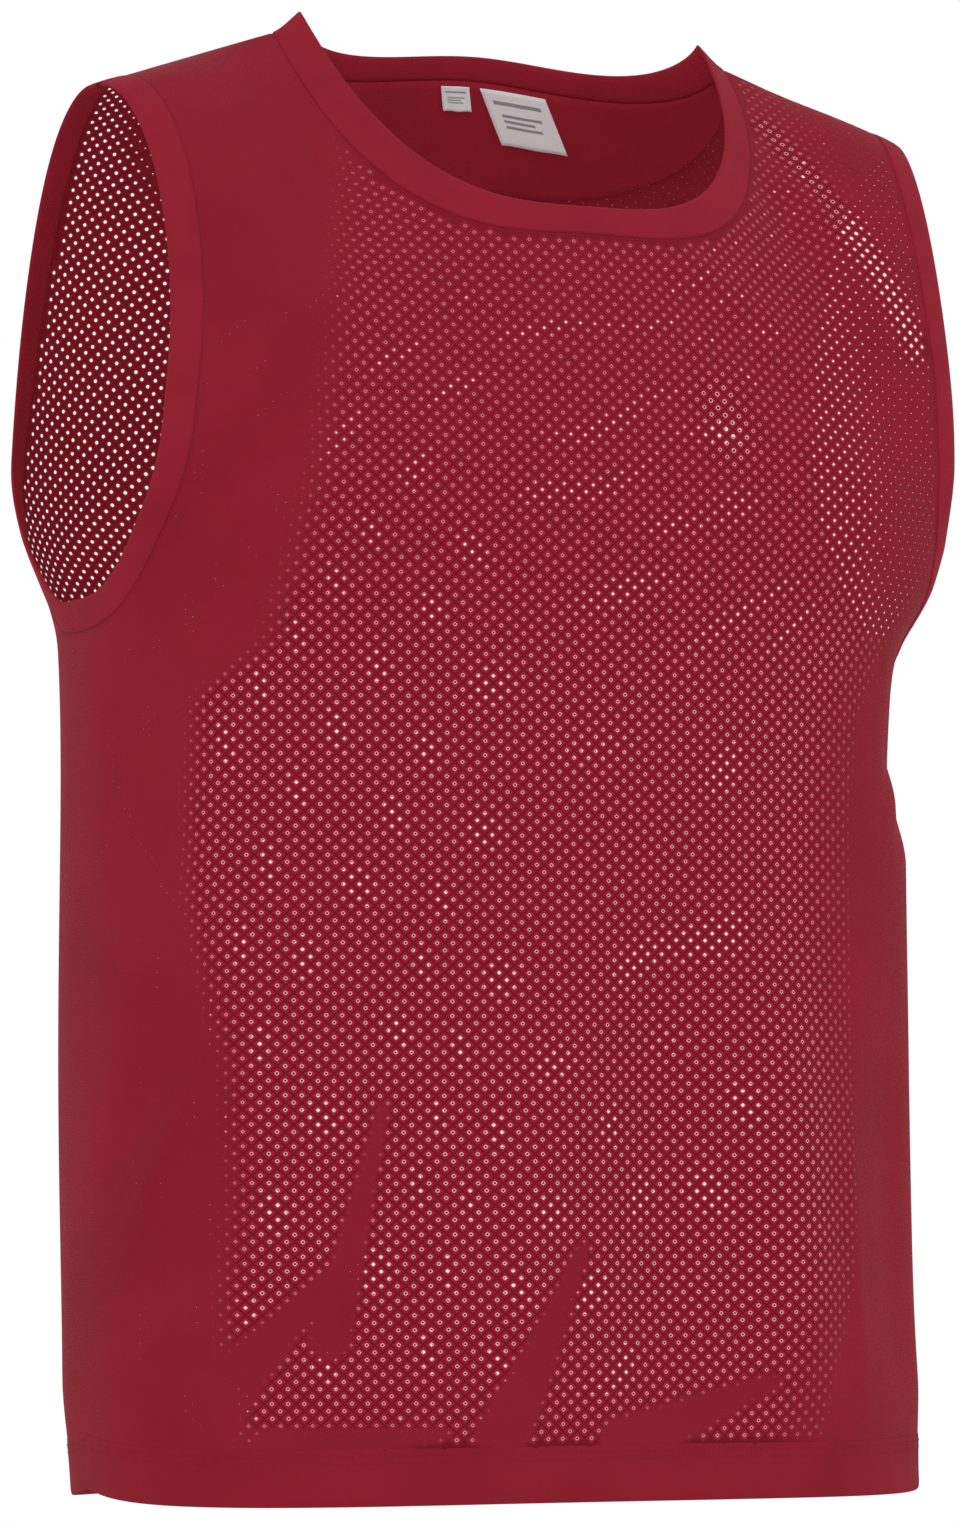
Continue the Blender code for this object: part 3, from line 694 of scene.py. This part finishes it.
def onto(points, outline):
    """The nearest place on the outline, and how far it is."""
    best, far = np.zeros_like(points), np.full(len(points), np.inf)
    for start, end in zip(outline, np.roll(outline, -1, axis=0)):
        run = end - start
        share = np.clip(((points - start) @ run) / max(run @ run, 1e-12), 0, 1)
        place = start + share[:, None] * run
        distance = np.hypot(*(points - place).T)
        nearer = distance < far
        best[nearer], far[nearer] = place[nearer], distance[nearer]
    return best, far


def net_panel(name, side):
    """A panel of net: whole cells with their holes, and plain cloth up to the seams."""
    outline = panel_outline(side)
    reach = np.array([HOLE_ACROSS, HOLE_UP])
    last = np.ceil(np.abs(outline).max(axis=0) / reach).astype(int) + 1
    columns, rows = np.meshgrid(np.arange(-last[0], last[0] + 1), np.arange(last[1] + 1))
    i, j = columns.ravel(), rows.ravel()
    place = np.stack([i, j], axis=1) * reach
    within = inside(place, outline)
    nearest, distance = onto(place, outline)
    snapped = np.where(within[:, None], place, nearest)
    number = {(a, b): k for k, (a, b) in enumerate(zip(i, j))}
    centres, edge_points, edge_faces, used = [], [], [], {}
    for k in np.flatnonzero((i + j) % 2 == 0):
        steps = ((1, 0), (0, 1), (-1, 0), (0, -1))
        around = [number.get((i[k] + a, j[k] + b)) for a, b in steps]
        if None in around or not within[around].any():
            continue
        if within[around].all() and distance[around].min() > CELL_RADIUS:
            centres.append((*place[k], 0))
            continue
        for corner in around:
            if corner not in used:
                used[corner] = len(edge_points)
                edge_points.append((*snapped[corner], 0))
        edge_faces.append([used[corner] for corner in around])
    edge = new_mesh(name + "_edge", edge_points, edge_faces)
    piece = repeat(name, centres, 0.0, cell, edge, NET_WELD, net.material)

    flat = flat_points(piece)
    ring = np.zeros(len(flat), np.float32)
    piece.data.attributes["ring"].data.foreach_get("value", ring)
    piece.data.attributes.remove(piece.data.attributes["ring"])
    centre = np.round(flat[:, :2] / reach) * reach
    open_share, bright = openness(centre[:, 0], centre[:, 1], side)
    radius = SHUT_RADIUS + (HOLE_RADIUS[side] - SHUT_RADIUS) * open_share
    on_ring = ring > 0.5
    moved = centre + (flat[:, :2] - centre) * (radius / CELL_RADIUS)[:, None]
    flat[on_ring, :2] = moved[on_ring]
    put_on_body(piece, flat, side)
    finish_mesh(piece, flat[:, :2], rim=on_ring, shine=bright)
    return piece


front, back = net_panel("front_net", FRONT), net_panel("back_net", BACK)
bpy.data.objects.remove(cell, do_unlink=True)
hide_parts("front_panel")
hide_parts("back_panel")
for piece in (front, back):
    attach(piece, "root")

# ---------------------------------------------------------------- hem
# The lower edge of each panel, turned up 25 mm inside and stitched down in two rows. Doubled
# cloth hides the holes, and it puckers a little between the stitches.
HEM_ROUND = (
    # up from the fold, off the cloth's outer face
    (0.0262, 0.0001), (0.0225, 0.0004), (0.0160, 0.0005), (0.0090, 0.0005), (0.0030, 0.0004),
    (0.0006, 0.0000), (0.0000, -0.0006), (0.0006, -0.0012), (0.0030, -0.0015), (0.0100, -0.0016),
    (0.0180, -0.0016), (0.0240, -0.0014), (0.0255, -0.0008),
)
HEM_COLUMNS = 241
PUCKER, PUCKER_SHORT, PUCKER_LONG, PUCKER_START = 0.00022, 0.011, 0.047, 0.012
HEM_STITCH_ROWS, HEM_STITCH_HEIGHT = (0.0232, 0.0198), 0.0006
hem_cloth = ClothShader("hem_cloth", 0.80, 0.05, PAINTED_GLOW)
hem_colour = hem_cloth.blotches(18.0, CRIMSON, CRIMSON_DEEP)
hem_wales = knit(hem_cloth.s, WALE)
hem_cloth.finish(hem_colour, hem_wales * 0.5 + hem_cloth.noise(1000.0, 2.0), 0.00015, 0.6)


def grid_faces(rows, columns, ring=False, tube=False):
    """Quads between rows and columns of points; ring joins the last row to the first."""
    number = np.arange(rows * columns).reshape(rows, columns)
    if ring:
        number = np.vstack([number, number[:1]])
    if tube:
        number = np.hstack([number, number[:, :1]])
    corners = [number[:-1, :-1], number[1:, :-1], number[1:, 1:], number[:-1, 1:]]
    return np.stack([c.ravel() for c in corners], axis=-1).tolist()


def hem(name, side):
    s = np.linspace(-HALF_PANEL, HALF_PANEL, HEM_COLUMNS)[:, None]
    above, height = (np.array(column)[None, :] for column in zip(*HEM_ROUND))
    waves = np.sin(s * 2 * math.pi / PUCKER_SHORT) * np.sin(s * 2 * math.pi / PUCKER_LONG)
    height = height + PUCKER * waves * smooth((above - PUCKER_START) / PUCKER_START)
    s, height = np.broadcast_arrays(s, height)
    t = hem_line(s, above)
    faces = grid_faces(*s.shape)
    if side == BACK:
        faces = [face[::-1] for face in faces]
    piece = new_mesh(name, cloth(s, t, side, height).reshape(-1, 3), faces, hem_cloth.material)
    finish_mesh(piece, np.stack([s.ravel(), t.ravel()], axis=1))
    return piece


# A stitch: a short thread with tapered ends, five-sided
STITCH_HALF, STITCH_RADIUS, STITCH_PITCH, STITCH_SIDES = 0.0009, 0.00020, 0.0026, 5
STITCH_SWELL = ((-1.0, 0.25), (-0.6, 0.9), (0.6, 0.9), (1.0, 0.25))
stitch_points = []
for share, swell in STITCH_SWELL:
    for a in np.arange(STITCH_SIDES) * 2 * math.pi / STITCH_SIDES:
        across, up = swell * STITCH_RADIUS * math.cos(a), swell * STITCH_RADIUS * math.sin(a)
        stitch_points.append((share * STITCH_HALF, across, up))
caps = [list(range(STITCH_SIDES))[::-1], list(range(3 * STITCH_SIDES, 4 * STITCH_SIDES))]
stitch = new_mesh("stitch", stitch_points, grid_faces(4, STITCH_SIDES, tube=True) + caps)
THREAD = (0.250, 0.016, 0.028, 1)
thread = ClothShader("sewing_thread", 0.60, 0.05, PAINTED_GLOW)
thread_colour = thread.mix(thread.noise(2000.0).above(0.3, 0.4), THREAD, CRIMSON)
thread.finish(thread_colour, thread.noise(3000.0, 2.0), 0.00010, 0.5)


def stitches(name, s, t, side, height):
    """A row of stitches along a line of pattern points."""
    shares, length = share_of_length(s, t)
    count = int(length / STITCH_PITCH)
    at = (np.arange(count) + 0.5) / count
    spot_s, spot_t = np.interp(at, shares, s), np.interp(at, shares, t)
    ahead = at + 0.2 / count
    turns = np.arctan2(np.interp(ahead, shares, t) - spot_t, np.interp(ahead, shares, s) - spot_s)
    places = np.stack([spot_s, spot_t, np.full(count, height)], axis=1)
    piece = repeat(name, places, turns, stitch, None, 0.0, thread.material)
    flat = flat_points(piece)
    put_on_body(piece, flat, side)
    finish_mesh(piece, flat[:, :2])
    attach(piece, "root")
    return piece


hems, sewing = {}, {FRONT: [], BACK: []}
hem_s = np.linspace(-HALF_PANEL, HALF_PANEL, 300)
for side in (FRONT, BACK):
    hems[side] = hem("hem_" + SIDE_NAMES[side], side)
    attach(hems[side], "root")
    for row, above in enumerate(HEM_STITCH_ROWS):
        name = f"hem_stitches_{SIDE_NAMES[side]}_{row}"
        row_t = hem_line(hem_s, above)
        sewing[side].append(stitches(name, hem_s, row_t, side, HEM_STITCH_HEIGHT))

# ---------------------------------------------------------------- neck and armhole bands
# Strips of plain knit in the same crimson, folded double and sewn round each opening, so that
# their outer edge is a soft fold and their seam lies just under the net's cut edge.
NECK_BAND, NECK_STAND, ARM_BAND = 0.013, 0.007, 0.014
BAND_LAP, BAND_LAP_HEIGHT = 0.0012, 0.0001    # how far its seam edge laps over the net
BAND_ROUND = (
    # share of the width into the opening, off the cloth's outer face
    (0.00, 0.0005), (0.20, 0.0006), (0.45, 0.0007), (0.75, 0.0006), (0.93, 0.0003),
    (1.00, -0.0005), (0.93, -0.0013), (0.75, -0.0016), (0.45, -0.0017), (0.20, -0.0016),
    (0.00, -0.0013),
)
STITCH_IN, BAND_STITCH_HEIGHT = 0.0022, 0.0001    # stitches lie this far outside the seam
PLAIN, PLAIN_DEEP = (0.236, 0.0098, 0.0212, 1), (0.214, 0.0088, 0.0190, 1)
RIB, KNIT_ROW = 0.0010, 0.0008
plain = ClothShader("plain_knit", 0.82, 0.05, PAINTED_GLOW)
plain_colour = plain.blotches(30.0, PLAIN, PLAIN_DEEP)
plain_relief = (knit(plain.s, RIB) + knit(plain.t, KNIT_ROW)) * 0.5 + plain.noise(1200.0, 2.0)
plain.finish(plain_colour, plain_relief, 0.00014, 0.5)


def outward(piece):
    """Turn a closed piece's faces outwards."""
    shell = bmesh.new()
    shell.from_mesh(piece.data)
    bmesh.ops.recalc_face_normals(shell, faces=shell.faces)
    shell.to_mesh(piece.data)
    shell.free()
    return piece


def band(name, width, stations, place, node_name):
    """A closed strip; place(side, angle, into_opening, height) lays a point of it."""
    share, height = (np.array(column)[None, :] for column in zip(*BAND_ROUND))
    into = np.hstack([[[-BAND_LAP]], share * width])
    height = np.hstack([[[BAND_LAP_HEIGHT]], height])
    points = np.concatenate([
        place(side, np.asarray(angles)[:, None], into, height) for side, angles in stations
    ])
    run = np.linalg.norm(points[:, 0] - np.roll(points[:, 0], 1, axis=0), axis=-1)
    along = np.cumsum(run)[:, None] + into * 0
    around = np.cumsum(np.full(points.shape[:2], 2 * width / len(BAND_ROUND)), axis=1)
    faces = grid_faces(*points.shape[:2], ring=True, tube=True)
    piece = outward(new_mesh(name, points.reshape(-1, 3), faces, plain.material))
    finish_mesh(piece, np.stack([along.ravel(), around.ravel()], axis=1))
    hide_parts(node_name)
    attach(piece, "root")


def on_neck(side, angle, into, height):
    s, t = neck_curve(angle, side, into)
    place = cloth(s, t, side, height)
    share = np.clip(into / NECK_BAND, 0, 1)
    at_shoulder = np.abs(np.sin(angle)) ** 5
    place[..., 2] += NECK_STAND * share ** 1.5 * at_shoulder
    return place


def on_armhole(hand):
    def place(side, angle, into, height):
        s, t = armhole_curve(angle, side, into)
        return cloth(hand * s, t, side, height)
    return place


# Once round each opening: the front's seam, then the back's the other way
NECK_STEPS, ARM_STEPS = {FRONT: 130, BACK: 80}, 110
neck_stations = [
    (FRONT, neck_angles(FRONT, NECK_STEPS[FRONT])[:-1]),
    (BACK, -neck_angles(BACK, NECK_STEPS[BACK])[:-1]),
]
band("neck_binding", NECK_BAND, neck_stations, on_neck, "neck_band")
arm_stations = [
    (FRONT, armhole_angles(FRONT, ARM_STEPS)[:-1]),
    (BACK, armhole_angles(BACK, ARM_STEPS)[:0:-1]),
]
for hand, word in ((RIGHT, "right"), (LEFT, "left")):
    name, node_name = f"armhole_binding_{word}", f"armhole_band_{word}"
    band(name, ARM_BAND, arm_stations, on_armhole(hand), node_name)
    for side in (FRONT, BACK):
        s, t = armhole_curve(armhole_angles(side, ROUND_STEPS)[4:-4], side, -STITCH_IN)
        name = f"armhole_stitches_{SIDE_NAMES[side]}_{word}"
        sewing[side].append(stitches(name, hand * s, t, side, BAND_STITCH_HEIGHT))
for side in (FRONT, BACK):
    s, t = neck_curve(neck_angles(side, ROUND_STEPS)[3:-3], side, -STITCH_IN)
    name = f"neck_stitches_{SIDE_NAMES[side]}"
    sewing[side].append(stitches(name, s, t, side, BAND_STITCH_HEIGHT))
bpy.data.objects.remove(stitch, do_unlink=True)

# ---------------------------------------------------------------- back neck lining
# A half-moon of the bands' plain knit inside the back neck. It is sewn in with the neck band,
# covers that seam and carries the labels.
FACING_DEPTH, FACING_IN, FACING_WALL, FACING_GAP = 0.062, -0.0017, 0.0007, 0.0008
FACING_HALF_ANGLE, FACING_END, FACING_FULLNESS = 1.40, 1.55, 0.7


def slab(name, s, t, outer, wall, material, flat, node_name):
    """A thin closed piece inside the back, from a grid of pattern points."""
    rows, columns = s.shape
    points = np.concatenate([cloth(s, t, BACK, h).reshape(-1, 3) for h in (outer, outer - wall)])
    number = np.arange(rows * columns).reshape(rows, columns)
    edge = np.concatenate([number[0, :-1], number[:-1, -1], number[-1, :0:-1], number[:0:-1, 0]])
    below = number.size
    faces = grid_faces(rows, columns)
    faces += [[k + below for k in face[::-1]] for face in faces]
    faces += [(a, b, b + below, a + below) for a, b in zip(edge, np.roll(edge, -1))]
    piece = outward(new_mesh(name, points, faces, material))
    finish_mesh(piece, np.concatenate([flat, flat]))
    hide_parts(node_name)
    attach(piece, "root")


angle = np.linspace(-FACING_HALF_ANGLE, FACING_HALF_ANGLE, 61)[None, :]
down = np.linspace(0, 1, 15)[:, None]
depth = FACING_DEPTH * np.cos(angle / FACING_HALF_ANGLE * FACING_END) ** FACING_FULLNESS
s, t = neck_curve(angle, BACK, -FACING_GAP - depth * down)
slab(
    "back_neck_lining", s, t, FACING_IN, FACING_WALL, plain.material,
    np.stack([s.ravel(), t.ravel()], axis=1), "back_neck_facing",
)

# ---------------------------------------------------------------- labels
# Two white woven satin labels, sewn in at their top edge and hanging free below. Where the
# real ones are printed these carry plain grey bars.
LABELS = (
    # name, middle across, width, height, lean of its lower edge, how far it hangs off
    ("label_main", 0.0235, 0.0350, 0.0300, 0.0200, 0.0018),
    ("label_size", -0.0075, 0.0155, 0.0135, 0.0050, 0.0010),
)
LABEL_TOP, LABEL_IN, LABEL_WALL = 0.003, -0.0032, 0.0004
LABEL_WAVE, LABEL_WAVES, LABEL_THREADS = 0.0004, 9, 420.0
BARS = (
    # bottom, top, left, right, as shares of the label
    (0.74, 0.80, 0.14, 0.86),
    (0.52, 0.56, 0.20, 0.80),
    (0.42, 0.46, 0.20, 0.66),
    (0.32, 0.36, 0.20, 0.74),
)
BAR_SOFT = 0.01
LABEL_WHITE, BAR_GREY = (0.83, 0.83, 0.82, 1), (0.30, 0.30, 0.32, 1)
# The satin also takes a faint painted glow of its own colour
satin = ClothShader("label_satin", 0.45, 0.20, 0.10)
satin.shader.inputs["Sheen Tint"].default_value = (1, 1, 1, 1)
bars = 0
for low, high, left, right in BARS:
    upward = satin.t.above(low - BAR_SOFT, BAR_SOFT) - satin.t.above(high, BAR_SOFT)
    across = satin.s.above(left - BAR_SOFT, BAR_SOFT) - satin.s.above(right, BAR_SOFT)
    bars = upward * across + bars
weave = (satin.s * LABEL_THREADS).sine() * 0.5 + (satin.t * LABEL_THREADS).sine() * 0.5
satin.finish(satin.mix(bars, LABEL_WHITE, BAR_GREY), weave, 0.00008, 0.5)
for name, middle, width, height, lean, off in LABELS:
    across, low = np.meshgrid(np.linspace(-0.5, 0.5, 13), np.linspace(0, 1, 13))
    seam_s = middle + width * across
    seam_t = neck_curve(np.arcsin(seam_s / NECK_SEAM), BACK)[1]
    hang = LABEL_IN - off * low ** 2 - LABEL_WAVE * np.cos(across * LABEL_WAVES) * low
    flat = np.stack([(across + 0.5).ravel(), (1 - low).ravel()], axis=1)
    slab(
        name + "_woven", seam_s + lean * low, seam_t - LABEL_TOP - height * low, hang, LABEL_WALL,
        satin.material, flat, name,
    )

# ---------------------------------------------------------------- floor, light and camera
# A pale floor well below the bib, an even white studio, and three soft lamps that model the
# folds. The camera stands to the wearer's right and a little below the bib's middle.
FLOOR_RADIUS, FLOOR_HEIGHT, FLOOR_CORNERS = 6.0, -1.45, 64
FLOOR_COLOUR, FLOOR_ROUGHNESS = (0.82, 0.82, 0.82, 1), 0.9
WORLD_LIGHT = 0.745
floor_points = [
    (FLOOR_RADIUS * math.cos(a), FLOOR_RADIUS * math.sin(a), FLOOR_HEIGHT)
    for a in np.arange(FLOOR_CORNERS) * 2 * math.pi / FLOOR_CORNERS
]
pale_floor = bpy.data.materials.new("pale_floor")
pale_floor.use_nodes = True
floor_shader = pale_floor.node_tree.nodes["Principled BSDF"]
floor_shader.inputs["Base Color"].default_value = FLOOR_COLOUR
floor_shader.inputs["Roughness"].default_value = FLOOR_ROUGHNESS
new_mesh("floor", floor_points, [list(range(FLOOR_CORNERS))], pale_floor)

scene = bpy.context.scene
scene.view_settings.view_transform = "Standard"
world = bpy.data.worlds.new("studio")
scene.world = world
world.use_nodes = True
camera_ray = node(world.node_tree, "ShaderNodeLightPath")[0]
lighting = {"Value": camera_ray, "To Min": WORLD_LIGHT}
strength = node(world.node_tree, "ShaderNodeMapRange", (), lighting)[0]
background = world.node_tree.nodes["Background"]
background.inputs["Color"].default_value = (1, 1, 1, 1)
world.node_tree.links.new(strength.output, background.inputs["Strength"])

LAMPS = (
    # name, place, size, watts
    ("key", (-1.7, -2.3, 0.9), 1.6, 16),
    ("fill", (2.2, -1.8, 0.2), 1.8, 6),
    ("rim", (0.6, 2.4, 0.9), 1.6, 14),
)
LAMP_AIM = Vector((0, 0, -0.35))
for name, place, size, watts in LAMPS:
    lamp = bpy.data.lights.new(name, "AREA")
    lamp.size, lamp.energy = size, watts
    light = bpy.data.objects.new(name, lamp)
    light.location = place
    light.rotation_euler = (LAMP_AIM - Vector(place)).to_track_quat("-Z", "Y").to_euler()
    scene.collection.objects.link(light)

AZIMUTH, TILT, DISTANCE = math.radians(-24.0), math.radians(-4.05), 3.0
AIM_ACROSS, AIM_HEIGHT, LENS = -0.0105, -0.3560, 146.6
toward_camera = Vector((
    math.sin(AZIMUTH) * math.cos(TILT), -math.cos(AZIMUTH) * math.cos(TILT), math.sin(TILT)
))
aim = Vector((AIM_ACROSS * math.cos(AZIMUTH), AIM_ACROSS * math.sin(AZIMUTH), AIM_HEIGHT))
lens = bpy.data.cameras.new("camera")
lens.sensor_fit, lens.sensor_height, lens.lens = "VERTICAL", 36.0, LENS
camera = bpy.data.objects.new("camera", lens)
camera.location = aim + toward_camera * DISTANCE
camera.rotation_euler = (-toward_camera).to_track_quat("-Z", "Y").to_euler()
scene.collection.objects.link(camera)
scene.camera = camera
